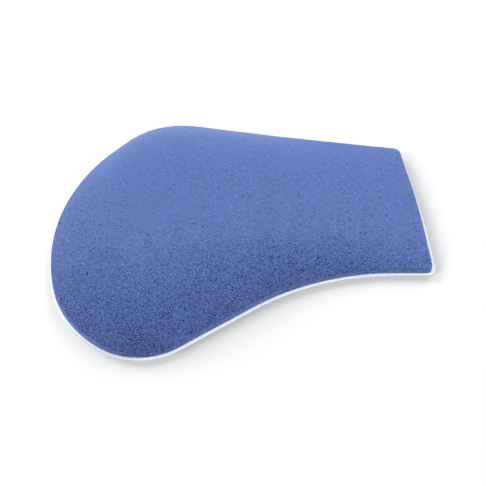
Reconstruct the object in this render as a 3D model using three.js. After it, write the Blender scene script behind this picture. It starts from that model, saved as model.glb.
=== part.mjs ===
// Metatarsal pad: a domed pad of fine-pored foam on a thin white backing sheet.
// Millimetres, +Z up. The toe end points along -X, the squared heel end along +X, the waisted side along -Y.
// The origin is on the surface that the pad lies on, under the middle of the backing sheet.
import * as THREE from "three";

// Driving dimensions
const BACKING_THICKNESS = 0.3;
const GLUE_GAP = 0.05;
const EDGE_HEIGHT = 1.3; // upright foam wall round the outline
const CROWN_HEIGHT = 8.7; // thickest foam, near the toes
const HEEL_HEIGHT = 2.7; // foam thickness where the spine ends, near the heel
const FLANK_POWER = 3.6; // higher makes the flank steeper and the top flatter

// The dome's highest line, seen from above, runs straight from the crown to the heel end.
const SPINE = new THREE.Line3(new THREE.Vector3(-15.0, 1.2, 0), new THREE.Vector3(32.4, -0.4, 0));

// Corners of the foam's outline before rounding, anticlockwise seen from above. Each is rounded to its
// radius. The backing stands out by the margin along the side that leads from a corner to the next one.
const CORNERS = [
  { name: "heel, straight side", x: 34.3, y: 15.3, radius: 1.4, margin: 0.2 },
  { name: "straight side", x: 11.0, y: 21.85, radius: 400.0, margin: 0.2 },
  { name: "toe lobe, straight side", x: -12.5, y: 29.2, radius: 15.1, margin: 0.2 },
  { name: "toe front, straight side", x: -34.7, y: 11.0, radius: 36.0, margin: 0.25 },
  { name: "toe front, waisted side", x: -35.0, y: -17.2, radius: 21.8, margin: 0.35 },
  { name: "toe lobe, waisted side", x: -21.1, y: -29.75, radius: 12.5, margin: 0.38 },
  { name: "waist", x: 13.0, y: -12.6, radius: 46.5, margin: 0.3 },
  { name: "heel, waisted side", x: 34.3, y: -15.35, radius: 1.0, margin: 0.7 },
  { name: "heel end", x: 34.9, y: 0.3, radius: 150.0, margin: 0.55 },
];

// Fineness of the faceted surfaces
const OUTLINE_STEP = 1.7; // longest straight step along the outline
const ARC_STEP = THREE.MathUtils.degToRad(18); // largest turn in one step
const RING_COUNT = 16; // rings from the outline to the spine
const RING_CROWDING = 1.25; // above 1 sets the rings closer near the outline
const LAST_RING = 0.93; // the innermost ring's way from the outline to the spine
const SPINE_STEPS = 24;

// Finishes, with colours in sRGB
const FOAM_BLUE = 0x647cb8;
const FOAM_ROUGHNESS = 0.95;
const BACKING_WHITE = 0xf2f6fa;
const BACKING_ROUGHNESS = 0.55;

// Everything about one corner that its rounding and its margins need. turn is negative where it juts out.
function cornerShape(corners, index) {
  const { x, y, radius } = corners[index];
  const before = corners.at(index - 1);
  const after = corners[(index + 1) % corners.length];
  const point = new THREE.Vector2(x, y);
  const toBefore = new THREE.Vector2(before.x, before.y).sub(point).normalize();
  const toAfter = new THREE.Vector2(after.x, after.y).sub(point).normalize();
  const inward = toBefore.clone().add(toAfter).normalize();
  const halfAngle = Math.acos(toBefore.dot(toAfter)) / 2;
  const turn = toBefore.cross(toAfter);
  return { point, toBefore, toAfter, inward, halfAngle, turn, radius };
}

// The same corners with each side moved outwards by its margin, and the radii changed to match
function widenedCorners(corners) {
  return corners.map((corner, index) => {
    const { point, toBefore, toAfter, turn, radius } = cornerShape(corners, index);
    const marginBefore = corners.at(index - 1).margin;
    const marginAfter = corner.margin;
    point.addScaledVector(toBefore, marginAfter / turn).addScaledVector(toAfter, marginBefore / turn);
    const growth = (marginBefore + marginAfter) / 2;
    return { ...corner, x: point.x, y: point.y, radius: radius - Math.sign(turn) * growth };
  });
}

// Points round the outline: an arc at each corner, with straight sides between them
function outlinePoints(corners) {
  const path = new THREE.Path();
  corners.forEach((_, index) => {
    const { point, toBefore, toAfter, inward, halfAngle, turn, radius } = cornerShape(corners, index);
    const centre = point.clone().addScaledVector(inward, radius / Math.sin(halfAngle));
    const reach = radius / Math.tan(halfAngle);
    const start = point.clone().addScaledVector(toBefore, reach).sub(centre);
    const end = point.clone().addScaledVector(toAfter, reach).sub(centre);
    path.absarc(centre.x, centre.y, radius, start.angle(), end.angle(), turn > 0);
  });
  path.closePath();
  return path.curves.flatMap((curve) => {
    const length = curve.getLength();
    const bend = curve.isEllipseCurve ? length / curve.xRadius : 0;
    const steps = Math.ceil(Math.max(length / OUTLINE_STEP, bend / ARC_STEP));
    return Array.from({ length: steps }, (_, step) => curve.getPoint(step / steps));
  });
}

// For each point of an outline, its nearest place on the spine: 0 at the crown and 1 at the heel
function spineShares(outline) {
  return outline.map(({ x, y }) => SPINE.closestPointToPointParameter(new THREE.Vector3(x, y, 0), true));
}

// Points along the spine, each at the height that heightAt gives for its share
function spinePoints(heightAt) {
  return Array.from({ length: SPINE_STEPS + 1 }, (_, step) => {
    const share = step / SPINE_STEPS;
    return SPINE.at(share, new THREE.Vector3()).setZ(heightAt(share));
  });
}

// Faces between rings of equal point counts, lowest ring first, each ring anticlockwise seen from above
function wallFaces(ringCount, count) {
  const faces = [];
  for (let low = 0; low < (ringCount - 1) * count; low += count) {
    const high = low + count;
    for (let i = 0; i < count; i++) {
      const next = (i + 1) % count;
      faces.push([low + i, low + next, high + next], [low + i, high + next, high + i]);
    }
  }
  return faces;
}

// Faces that close a ring along the spine, looking up. steps gives each ring point's own spine point.
function lidFaces(steps, firstOfRing, firstOfSpine) {
  const faces = [];
  steps.forEach((step, i) => {
    const next = (i + 1) % steps.length;
    const stride = Math.sign(steps[next] - step);
    faces.push([firstOfRing + i, firstOfRing + next, firstOfSpine + step]);
    for (let at = step; at !== steps[next]; at += stride) {
      faces.push([firstOfRing + next, firstOfSpine + at + stride, firstOfSpine + at]);
    }
  });
  return faces;
}

// A solid from its rings, lowest first, closed below and above along the spine
function closedSolid(rings, shares, lowestAt, highestAt) {
  const count = shares.length;
  const steps = shares.map((share) => Math.round(share * SPINE_STEPS));
  const firstOfLowest = rings.length * count;
  const firstOfHighest = firstOfLowest + SPINE_STEPS + 1;
  const underside = lidFaces(steps, 0, firstOfLowest).map(([a, b, c]) => [a, c, b]);
  const top = lidFaces(steps, firstOfLowest - count, firstOfHighest);
  const geometry = new THREE.BufferGeometry();
  geometry.setFromPoints([...rings.flat(), ...spinePoints(lowestAt), ...spinePoints(highestAt)]);
  geometry.setIndex([...underside, ...wallFaces(rings.length, count), ...top].flat());
  geometry.computeVertexNormals();
  return geometry;
}

// The foam: an upright edge, then a flank that rounds off into a nearly flat top. Its crest falls smoothly
// from the crown to the heel.
function foamGeometry(outline) {
  const base = BACKING_THICKNESS + GLUE_GAP;
  const edge = base + EDGE_HEIGHT;
  const crestAt = (share) =>
    base + THREE.MathUtils.lerp(CROWN_HEIGHT, HEEL_HEIGHT, THREE.MathUtils.smoothstep(share, 0, 1));
  const shares = spineShares(outline);
  const foot = outline.map(({ x, y }) => new THREE.Vector3(x, y, base));
  const rings = [foot];
  for (let ring = 0; ring <= RING_COUNT; ring++) {
    const inwards = LAST_RING * (ring / RING_COUNT) ** RING_CROWDING;
    const rise = 1 - (1 - inwards) ** FLANK_POWER;
    rings.push(
      foot.map((point, i) => {
        const place = point.clone().lerp(SPINE.at(shares[i], new THREE.Vector3()), inwards);
        return place.setZ(THREE.MathUtils.lerp(edge, crestAt(shares[i]), rise));
      }),
    );
  }
  return closedSolid(rings, shares, () => base, crestAt);
}

// The backing: a flat sheet with the foam's outline and a narrow margin
function backingGeometry(outline) {
  const rings = [0, BACKING_THICKNESS].map((z) => outline.map(({ x, y }) => new THREE.Vector3(x, y, z)));
  return closedSolid(rings, spineShares(outline), () => 0, () => BACKING_THICKNESS);
}

function namedMesh(name, geometry, color, roughness) {
  const mesh = new THREE.Mesh(geometry, new THREE.MeshStandardMaterial({ color, roughness, metalness: 0 }));
  mesh.name = name;
  return mesh;
}

const backing = backingGeometry(outlinePoints(widenedCorners(CORNERS)));
const foam = foamGeometry(outlinePoints(CORNERS));

const pad = new THREE.Group();
pad.add(namedMesh("backing_sheet", backing, BACKING_WHITE, BACKING_ROUGHNESS));
pad.add(namedMesh("foam_dome", foam, FOAM_BLUE, FOAM_ROUGHNESS));

// The outline is drawn round its own zero point, so the pad is moved to bring the backing's middle to the
// origin.
backing.computeBoundingBox();
const middle = backing.boundingBox.getCenter(new THREE.Vector3());
pad.position.set(-middle.x, -middle.y, 0);

export default pad;
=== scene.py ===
import math

import bmesh
import bpy
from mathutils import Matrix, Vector, noise


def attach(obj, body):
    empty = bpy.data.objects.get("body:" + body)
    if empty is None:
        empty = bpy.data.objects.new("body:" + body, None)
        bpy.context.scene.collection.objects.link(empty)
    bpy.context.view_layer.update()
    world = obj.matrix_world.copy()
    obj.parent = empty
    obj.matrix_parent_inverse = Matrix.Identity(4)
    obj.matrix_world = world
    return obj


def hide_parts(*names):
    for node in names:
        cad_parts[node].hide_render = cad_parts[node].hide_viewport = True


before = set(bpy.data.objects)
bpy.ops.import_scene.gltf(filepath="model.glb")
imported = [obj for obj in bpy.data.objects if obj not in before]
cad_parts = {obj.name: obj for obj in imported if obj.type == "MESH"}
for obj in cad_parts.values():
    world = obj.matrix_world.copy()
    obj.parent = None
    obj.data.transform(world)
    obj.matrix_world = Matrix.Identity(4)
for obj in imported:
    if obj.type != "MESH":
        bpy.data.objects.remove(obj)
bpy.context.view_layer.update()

MM = 0.001

# Camera, from the photograph's perspective
IMAGE_SIDE_PX = 486
FOCAL_PX = 1300
SENSOR_MM = 36.0
NEAREST_SEEN = 10 * MM
VIEW_AZIMUTH = math.radians(-7.5)
VIEW_ELEVATION = math.radians(50)
VIEW_DISTANCE = 243.0 * MM
VIEW_TARGET = Vector((0.70, -3.41, 0)) * MM

# Studio, with lengths in metres. Further out the floor turns white, so that it has no hard edge.
FLOOR_SIDE = 40.0
FLOOR_DROP = 0.02 * MM
FLOOR_PALE_WITHIN = 0.12
FLOOR_WHITE_FROM = 0.6
FILL_STRENGTH = 0.89

# Lamps: square panels at one distance from the pad, in degrees, metres and watts.
# Each lights only what its last column says, so that the foam, the sheet and the soft shadow are set apart.
# Both means the floor and the sheet.
LAMP_DISTANCE = 1.2
LAMPS = [
    {"name": "foam_left", "azimuth": 245, "elevation": 22, "side": 0.8, "power": 17.5, "lights": "foam"},
    {"name": "foam_right", "azimuth": 112, "elevation": 35, "side": 0.8, "power": 19.5, "lights": "foam"},
    {"name": "floor_back", "azimuth": 215, "elevation": 32, "side": 0.5, "power": 12.0, "lights": "both"},
    {"name": "floor_left", "azimuth": 275, "elevation": 32, "side": 0.5, "power": 8.0, "lights": "floor"},
    {"name": "floor_right", "azimuth": 155, "elevation": 32, "side": 0.5, "power": 7.5, "lights": "floor"},
    {"name": "sheet_front", "azimuth": 45, "elevation": 15, "side": 0.5, "power": 7.5, "lights": "sheet"},
]

# Colours in sRGB, from 0 to 255
FOAM_DARK = (31, 49, 98)
FOAM_PALE = (86, 109, 164)
# Painted light at the foot of the foam, for light bounced up from the floor
FOAM_LIT_FOOT_DARK = (59, 81, 137)
FOAM_LIT_FOOT_PALE = (120, 145, 204)
# Painted shade in the pores and pits
FOAM_PORE_SHADE = (4, 12, 80)
FOAM_SHEEN = (190, 205, 240)
SHEET_DULL = (222, 232, 246)
SHEET_BRIGHT = (236, 244, 252)
FLOOR_PALE = (198, 198, 198)
FLOOR_WHITE = (255, 255, 255)

# Copies of the CAD solids. A face is level if its normal's Z is further from 0 than this, and triangles are
# joined in pairs that bend by less than the angle.
SAME_POINT = 0.001 * MM
LEVEL_Z = 0.9
QUAD_ANGLE = math.radians(60)

# The foam's cut edge, where the upright wall meets the flank, stays fairly crisp. The sheet's are rounded.
EDGE_ANGLE = math.radians(15)
EDGE_CREASE = 0.45
SHEET_ROUNDING = 0.05 * MM

# Foam relief, on a mesh whose edges are cut this many times: soft swells, and shallow cells that reach this
# share of their size from their middle
FOAM_CUTS = 2
SWELL_SIZE = 7.0 * MM
SWELL_HEIGHT = 0.05 * MM
CELL_SIZE = 0.6 * MM
CELL_REACH = 0.5
CELL_DEPTH = 0.035 * MM

# Burst cells. Where the skin is most open, a place whose chance is below a row's share has a pit of its
# radius, by the first such row. The shuffle turns a place into its chance.
PIT_SPACING = 1.6 * MM
PIT_DEPTH = 0.2 * MM
PIT_SHUFFLE = 7.3
PITS = [
    {"share": 0.12, "radius": 0.32 * MM},
    {"share": 0.5, "radius": 0.2 * MM},
]

# The skin's cells are most open on the flanks and where the skin turns furthest from this direction, which
# points up and back towards the lamps, so the openness is also painted shade on the sides turned from the
# light. They are fully open where the cosine of either angle has fallen by the span.
CLOSED_AND_LIT_SIDE = Vector((0, 0.5, 0.87)).normalized()
OPEN_SPAN = 0.55

# Foam paint: grain and mottling. The contrast is for closed cells, and for those of this openness or more.
# Its rise on open skin turned from the lamps is partly painted shade.
GRAIN_SIZE = 0.22 * MM
GRAIN_CONTRAST = (0.6, 1.5)
GRAIN_FULL_AT = 0.6
GRAIN_RELIEF = 0.6
MOTTLE_SIZE = 4.5 * MM
MOTTLE_DETAIL = 3.0
MOTTLE_CONTRAST = 0.12

# Foam paint: pores. They deepen between these distances from a cell's wall, in shares of its size. The
# strength is for closed and for open cells, and each cell multiplies it by the least and part of the spread.
# The pores, with the pits, darken the colour as painted shade in the hollows, and also dent the bump.
PORE_SIZE = 0.37 * MM
PORE_WALL = (0.08, 0.32)
PORE_STRENGTH = (0.15, 0.8)
PORE_LEAST = 0.55
PORE_SPREAD = 1.1

# Foam paint: specks, fading out between these distances from their middle, in shares of their spacing.
# A speck is dark if its random tone is below the middle, and pale if it is above. Dark specks are painted
# shade in small pores and pale ones painted highlights on cell walls; both go into the bump too.
SPECK_SPACING = 1.2 * MM
SPECK_EDGE = (0.08, 0.2)
SPECK_MIDDLE = 0.6
SPECK_CONTRAST = 1.5

# Foam paint: the balance of its dark and pale colours, and its finish
FOAM_BALANCE = 0.5
FOAM_ROUGHNESS = (0.86, 0.98)
FOAM_BUMP = 0.9
FOAM_BUMP_HEIGHT = 0.06 * MM

# Painted light: the foam is paler on its upright wall, where its normal's Z is below this, and at the foot
# of its flank, fading out between these heights, for light bounced up from the floor. Both grow between
# these places along the pad, from the toes to the heel, and the painted shade of their pores is cut by
# this much.
WALL_Z = 0.5
FOOT_HEIGHTS = (0.8 * MM, 2.0 * MM)
FOOT_PLACES = (-25 * MM, 18 * MM)
FOOT_SHARES = (0.6, 1.0)
FOOT_PORE_SHADE_CUT = 0.4

# Sheet paint
FIBRE_SIZE = 0.5 * MM
FIBRE_DETAIL = 4.0
SHEET_ROUGHNESS = (0.42, 0.58)
SHEET_BUMP = 0.3
SHEET_BUMP_HEIGHT = 0.01 * MM

# A cloud pattern's middle value, and the stretch that holds nearly all of its values
CLOUD_MIDDLE = 0.5
CLOUD_SPAN = (0.3, 0.7)


def linear(colour):
    """A colour for a shader from its sRGB values."""
    shares = [value / 255 for value in colour]
    return [s / 12.92 if s <= 0.04045 else ((s + 0.055) / 1.055) ** 2.4 for s in shares] + [1.0]


class Paint:
    """A value in a material's nodes. Arithmetic on it adds Math nodes, and node() adds any other."""

    def __init__(self, tree, socket=None):
        self.tree = tree
        self.socket = socket

    def node(self, kind, settings=None, sockets=None, output=0):
        made = self.tree.nodes.new(kind)
        for name, value in (settings or {}).items():
            setattr(made, name, value)
        for name, value in (sockets or {}).items():
            if isinstance(value, Paint):
                self.tree.links.new(value.socket, made.inputs[name])
            else:
                made.inputs[name].default_value = value
        return Paint(self.tree, made.outputs[output])

    def output(self, name):
        """Another output of the node that this value comes from."""
        return Paint(self.tree, self.socket.node.outputs[name])

    def math(self, operation, *values):
        return self.node("ShaderNodeMath", {"operation": operation}, dict(enumerate(values)))

    def __add__(self, other):
        return self.math("ADD", self, other)

    def __sub__(self, other):
        return self.math("SUBTRACT", self, other)

    def __rsub__(self, other):
        return self.math("SUBTRACT", other, self)

    def __mul__(self, other):
        return self.math("MULTIPLY", self, other)

    def __pow__(self, other):
        return self.math("POWER", self, other)

    __radd__ = __add__
    __rmul__ = __mul__

    def at_least(self, other):
        """The greater of this value and another."""
        return self.math("MAXIMUM", self, other)

    def ramp(self, low, high, to_low=0.0, to_high=1.0):
        """This value from low to high, smoothly, as a value from to_low to to_high."""
        return self.node(
            "ShaderNodeMapRange",
            {"interpolation_type": "SMOOTHSTEP", "clamp": True},
            {"Value": self, "From Min": low, "From Max": high, "To Min": to_low, "To Max": to_high},
        )

    def mix(self, first, second):
        """The first colour where this value is 0, and the second where it is 1."""
        # A Mix node has several sockets of one name, so the ones for colours go by number.
        return self.node("ShaderNodeMix", {"data_type": "RGBA"}, {0: self, 6: first, 7: second}, output=2)


def new_material(name):
    """A material with its shader and the place on the piece, which its other nodes start from."""
    material = bpy.data.materials.new(name)
    material.use_nodes = True
    shader = material.node_tree.nodes["Principled BSDF"]
    place = Paint(material.node_tree).node("ShaderNodeTexCoord", output="Object")
    return material, shader, place


def feed(shader, **sockets):
    """Links values to a shader's sockets, whose names have _ for a space."""
    for name, value in sockets.items():
        value.tree.links.new(value.socket, shader.inputs[name.replace("_", " ")])


def mesh_value(place, name):
    """A value that each vertex of the piece's mesh holds."""
    return place.node("ShaderNodeAttribute", {"attribute_name": name}, output="Fac")


def cloud_pattern(place, size, detail=0.0):
    """A soft random value at each place."""
    sockets = {"Vector": place, "Scale": 1 / size, "Detail": detail}
    return place.node("ShaderNodeTexNoise", None, sockets, output="Fac")


def cell_pattern(place, size, feature="F1"):
    """The distance from each place to the middle of its cell, or to its cell's edge."""
    sockets = {"Vector": place, "Scale": 1 / size}
    return place.node("ShaderNodeTexVoronoi", {"feature": feature}, sockets, output="Distance")


def tone_of(cells):
    """A random value for each cell of a pattern that gives the distance to the middle."""
    return cells.node("ShaderNodeSeparateColor", None, {"Color": cells.output("Color")}, output="Red")


def bumped(pattern, strength, height):
    """The normal of a surface with this pattern as its relief."""
    sockets = {"Strength": strength, "Distance": height, "Height": pattern}
    return pattern.node("ShaderNodeBump", None, sockets, output="Normal")


def foam_material():
    material, shader, place = new_material("blue_foam")
    openness_and_shade = mesh_value(place, "openness_and_shade")
    pit = mesh_value(place, "pit")
    wall = mesh_value(place, "wall")
    height_above = place.node("ShaderNodeSeparateXYZ", None, {"Vector": place}, output="Z")
    towards_heel = height_above.output("X").ramp(*FOOT_PLACES, *FOOT_SHARES)
    flank_foot = height_above.ramp(*FOOT_HEIGHTS, 1.0, 0.0)
    # Painted light: the wall and the foot of the flank are paler, for light bounced up from the floor.
    foot_light = flank_foot.at_least(wall) * towards_heel

    wall_distance = cell_pattern(place, PORE_SIZE, "DISTANCE_TO_EDGE")
    cell_tone = tone_of(cell_pattern(place, PORE_SIZE))
    # Painted shade: the openness, highest on the sides turned from the lamps, deepens the dark pores.
    pore_depth = openness_and_shade.ramp(0.0, 1.0, *PORE_STRENGTH) * (PORE_LEAST + PORE_SPREAD * cell_tone**2)
    pore = wall_distance.ramp(*PORE_WALL) * pore_depth
    # Painted shade: pores and pits darken the colour towards the pore shade colour.
    pore_shade = pore * (1 - FOOT_PORE_SHADE_CUT * foot_light) + pit

    grain = cloud_pattern(place, GRAIN_SIZE)
    mottle = cloud_pattern(place, MOTTLE_SIZE, MOTTLE_DETAIL)
    speck_distance = cell_pattern(place, SPECK_SPACING)
    # Painted shade and painted highlights: dark and pale specks.
    speck_shade_and_glint = speck_distance.ramp(*SPECK_EDGE, 1.0, 0.0) * (tone_of(speck_distance) - SPECK_MIDDLE)
    # Painted shade too: the grain's contrast grows where the skin is open and turned from the lamps.
    contrast = openness_and_shade.ramp(0.0, GRAIN_FULL_AT, *GRAIN_CONTRAST)
    skin_tone = (grain - CLOUD_MIDDLE + speck_shade_and_glint * SPECK_CONTRAST) * contrast
    light = FOAM_BALANCE + skin_tone + (mottle - CLOUD_MIDDLE) * MOTTLE_CONTRAST

    dark = foot_light.mix(linear(FOAM_DARK), linear(FOAM_LIT_FOOT_DARK))
    pale = foot_light.mix(linear(FOAM_PALE), linear(FOAM_LIT_FOOT_PALE))
    colour = pore_shade.mix(light.mix(dark, pale), linear(FOAM_PORE_SHADE))
    roughness = grain.ramp(*CLOUD_SPAN, *FOAM_ROUGHNESS)
    normal = bumped(grain * GRAIN_RELIEF + speck_shade_and_glint - pore, FOAM_BUMP, FOAM_BUMP_HEIGHT)
    feed(shader, Base_Color=colour, Roughness=roughness, Normal=normal)
    shader.inputs["Sheen Weight"].default_value = 0.22
    shader.inputs["Sheen Roughness"].default_value = 0.4
    shader.inputs["Sheen Tint"].default_value = linear(FOAM_SHEEN)
    shader.inputs["Specular IOR Level"].default_value = 0.25
    return material


def backing_material():
    material, shader, place = new_material("white_backing")
    fibre = cloud_pattern(place, FIBRE_SIZE, FIBRE_DETAIL)
    colour = fibre.ramp(*CLOUD_SPAN).mix(linear(SHEET_DULL), linear(SHEET_BRIGHT))
    roughness = fibre.ramp(*CLOUD_SPAN, *SHEET_ROUGHNESS)
    normal = bumped(fibre, SHEET_BUMP, SHEET_BUMP_HEIGHT)
    feed(shader, Base_Color=colour, Roughness=roughness, Normal=normal)
    return material


def floor_material():
    material, shader, place = new_material("pale_floor")
    distance = place.node("ShaderNodeVectorMath", {"operation": "LENGTH"}, {0: place}, output="Value")
    whiteness = distance.ramp(FLOOR_PALE_WITHIN, FLOOR_WHITE_FROM)
    feed(shader, Base_Color=whiteness.mix(linear(FLOOR_PALE), linear(FLOOR_WHITE)))
    shader.inputs["Roughness"].default_value = 0.9
    shader.inputs["Specular IOR Level"].default_value = 0.0
    return material


def new_object(name, form, material=None):
    """An object at the origin from a bmesh, which is freed."""
    mesh = bpy.data.meshes.new(name)
    form.to_mesh(mesh)
    form.free()
    mesh.materials.clear()
    mesh.materials.append(material)
    made = bpy.data.objects.new(name, mesh)
    bpy.context.scene.collection.objects.link(made)
    return made


def open_shell(node, is_cut_away):
    """A bmesh of a CAD node in quads, without the faces that is_cut_away picks by their normal's Z."""
    form = bmesh.new()
    form.from_mesh(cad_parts[node].data)
    bmesh.ops.remove_doubles(form, verts=form.verts, dist=SAME_POINT)
    cut_away = [face for face in form.faces if is_cut_away(face.normal.z)]
    bmesh.ops.delete(form, geom=cut_away, context="FACES")
    bmesh.ops.join_triangles(
        form, faces=form.faces, angle_face_threshold=QUAD_ANGLE, angle_shape_threshold=QUAD_ANGLE
    )
    return form


def smoothed(form):
    """A bmesh with one round of subdivision, from one that is freed."""
    draft = new_object("draft", form)
    rounding = draft.modifiers.new("rounding", "SUBSURF")
    rounding.levels = 1
    rounding.render_levels = 1
    rounded = bmesh.new()
    rounded.from_mesh(draft.evaluated_get(bpy.context.evaluated_depsgraph_get()).to_mesh())
    # This removes the draft object too.
    bpy.data.meshes.remove(draft.data)
    return rounded


def shade_smooth(form):
    for face in form.faces:
        face.smooth = True


def rim_edges(form):
    """The edges of an open shell's holes."""
    return [edge for edge in form.edges if edge.is_boundary]


def open_and_shaded_share(normal):
    """How open the foam's cells are, and how shaded the paint, where its skin faces this way, from 0 to 1.
    """
    return min(1.0, (1 - min(normal.dot(CLOSED_AND_LIT_SIDE), normal.z)) / OPEN_SPAN)


def wall_share(normal):
    """How upright the foam's skin is where it faces this way, from 0 to 1."""
    return 1 - min(1.0, max(0.0, normal.z) / WALL_Z)


def pit_share(point, openness_and_shade):
    """How deep a burst cell goes at a point, from 0 to 1. More cells are burst where they are open."""
    distances, centres = noise.voronoi(point / PIT_SPACING)
    chance = noise.cell(centres[0] * PIT_SHUFFLE) % 1.0
    for row in PITS:
        if chance < row["share"] * openness_and_shade**2:
            reach = distances[0] * PIT_SPACING / row["radius"]
            return max(0.0, 1 - reach * reach)
    return 0.0


def relief(point):
    """How far the foam's skin stands out at a point, in metres: soft swells and shallow cells."""
    distances, _ = noise.voronoi(point / CELL_SIZE)
    cell = max(0.0, 1 - distances[0] / CELL_REACH)
    return SWELL_HEIGHT * noise.noise(point / SWELL_SIZE) - CELL_DEPTH * cell


def foam_piece():
    """The foam: a finer copy of the CAD dome with cells in its skin and a flat underside."""
    form = open_shell("foam_dome", lambda z: z < -LEVEL_Z)
    crease = form.edges.layers.float.new("crease_edge")
    for edge in form.edges:
        if edge.calc_face_angle(0) > EDGE_ANGLE:
            edge[crease] = EDGE_CREASE
    form = smoothed(form)
    bmesh.ops.subdivide_edges(form, edges=form.edges, cuts=FOAM_CUTS, use_grid_fill=True)
    form.normal_update()
    rim = rim_edges(form)
    rim_points = {vertex for edge in rim for vertex in edge.verts}
    openness_and_shade = form.verts.layers.float.new("openness_and_shade")
    pit = form.verts.layers.float.new("pit")
    wall = form.verts.layers.float.new("wall")
    moves = []
    for vertex in form.verts:
        vertex[openness_and_shade] = open_and_shaded_share(vertex.normal)
        vertex[wall] = wall_share(vertex.normal)
        if vertex not in rim_points:
            vertex[pit] = pit_share(vertex.co, vertex[openness_and_shade])
            moves.append((vertex, vertex.normal * (relief(vertex.co) - PIT_DEPTH * vertex[pit])))
    for vertex, move in moves:
        vertex.co += move
    shade_smooth(form)
    bmesh.ops.holes_fill(form, edges=rim, sides=0)
    return new_object("foam_pad", form, foam_material())


def backing_piece():
    """The sheet: a copy of the CAD sheet with a smooth outline and rounded edges."""
    form = open_shell("backing_sheet", lambda z: abs(z) > LEVEL_Z)
    form = smoothed(form)
    shade_smooth(form)
    rims = rim_edges(form)
    bmesh.ops.holes_fill(form, edges=rims, sides=0)
    bmesh.ops.bevel(
        form, geom=rims, offset=SHEET_ROUNDING, affect="EDGES", segments=2, profile=0.5, material=-1
    )
    return new_object("white_sheet", form, backing_material())


def build_floor():
    form = bmesh.new()
    bmesh.ops.create_grid(form, x_segments=1, y_segments=1, size=FLOOR_SIDE / 2)
    bmesh.ops.translate(form, verts=form.verts, vec=(0, 0, -FLOOR_DROP))
    return new_object("floor", form, floor_material())


def towards(azimuth, elevation):
    """The direction from the pad to a viewer or a lamp. Azimuth 0 is in front of the waisted side."""
    return Vector(
        (
            math.sin(azimuth) * math.cos(elevation),
            -math.cos(azimuth) * math.cos(elevation),
            math.sin(elevation),
        )
    )


def aim(thing, target, direction, distance):
    """Puts a camera or a lamp at a distance from its target and turns it to face it."""
    thing.location = target + direction * distance
    thing.rotation_euler = (-direction).to_track_quat("-Z", "Y").to_euler()
    bpy.context.scene.collection.objects.link(thing)


def build_camera():
    lens = bpy.data.cameras.new("camera")
    lens.sensor_width = SENSOR_MM
    lens.lens = SENSOR_MM * FOCAL_PX / IMAGE_SIDE_PX
    lens.clip_start = NEAREST_SEEN
    camera = bpy.data.objects.new("camera", lens)
    aim(camera, VIEW_TARGET, towards(VIEW_AZIMUTH, VIEW_ELEVATION), VIEW_DISTANCE)
    bpy.context.scene.camera = camera


def build_fill():
    world = bpy.data.worlds.new("soft_fill")
    world.use_nodes = True
    fill = world.node_tree.nodes["Background"]
    fill.inputs["Color"].default_value = (1.0, 1.0, 1.0, 1.0)
    fill.inputs["Strength"].default_value = FILL_STRENGTH
    bpy.context.scene.world = world


def build_lamps(lit):
    """The lamps, each shining only on the things that lit holds under the name in its row."""
    groups = {}
    for name, things in lit.items():
        groups[name] = bpy.data.collections.new(name)
        for thing in things:
            groups[name].objects.link(thing)
    for row in LAMPS:
        panel = bpy.data.lights.new(row["name"], "AREA")
        panel.energy = row["power"]
        panel.size = row["side"]
        lamp = bpy.data.objects.new(row["name"], panel)
        lamp.light_linking.receiver_collection = groups[row["lights"]]
        direction = towards(math.radians(row["azimuth"]), math.radians(row["elevation"]))
        aim(lamp, Vector((0, 0, 0)), direction, LAMP_DISTANCE)


build_camera()
build_fill()
floor = build_floor()
bpy.context.scene.view_settings.view_transform = "Standard"

foam = foam_piece()
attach(foam, "root")
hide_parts("foam_dome")

backing = backing_piece()
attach(backing, "root")
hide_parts("backing_sheet")

build_lamps({"foam": [foam], "floor": [floor], "sheet": [backing], "both": [floor, backing]})
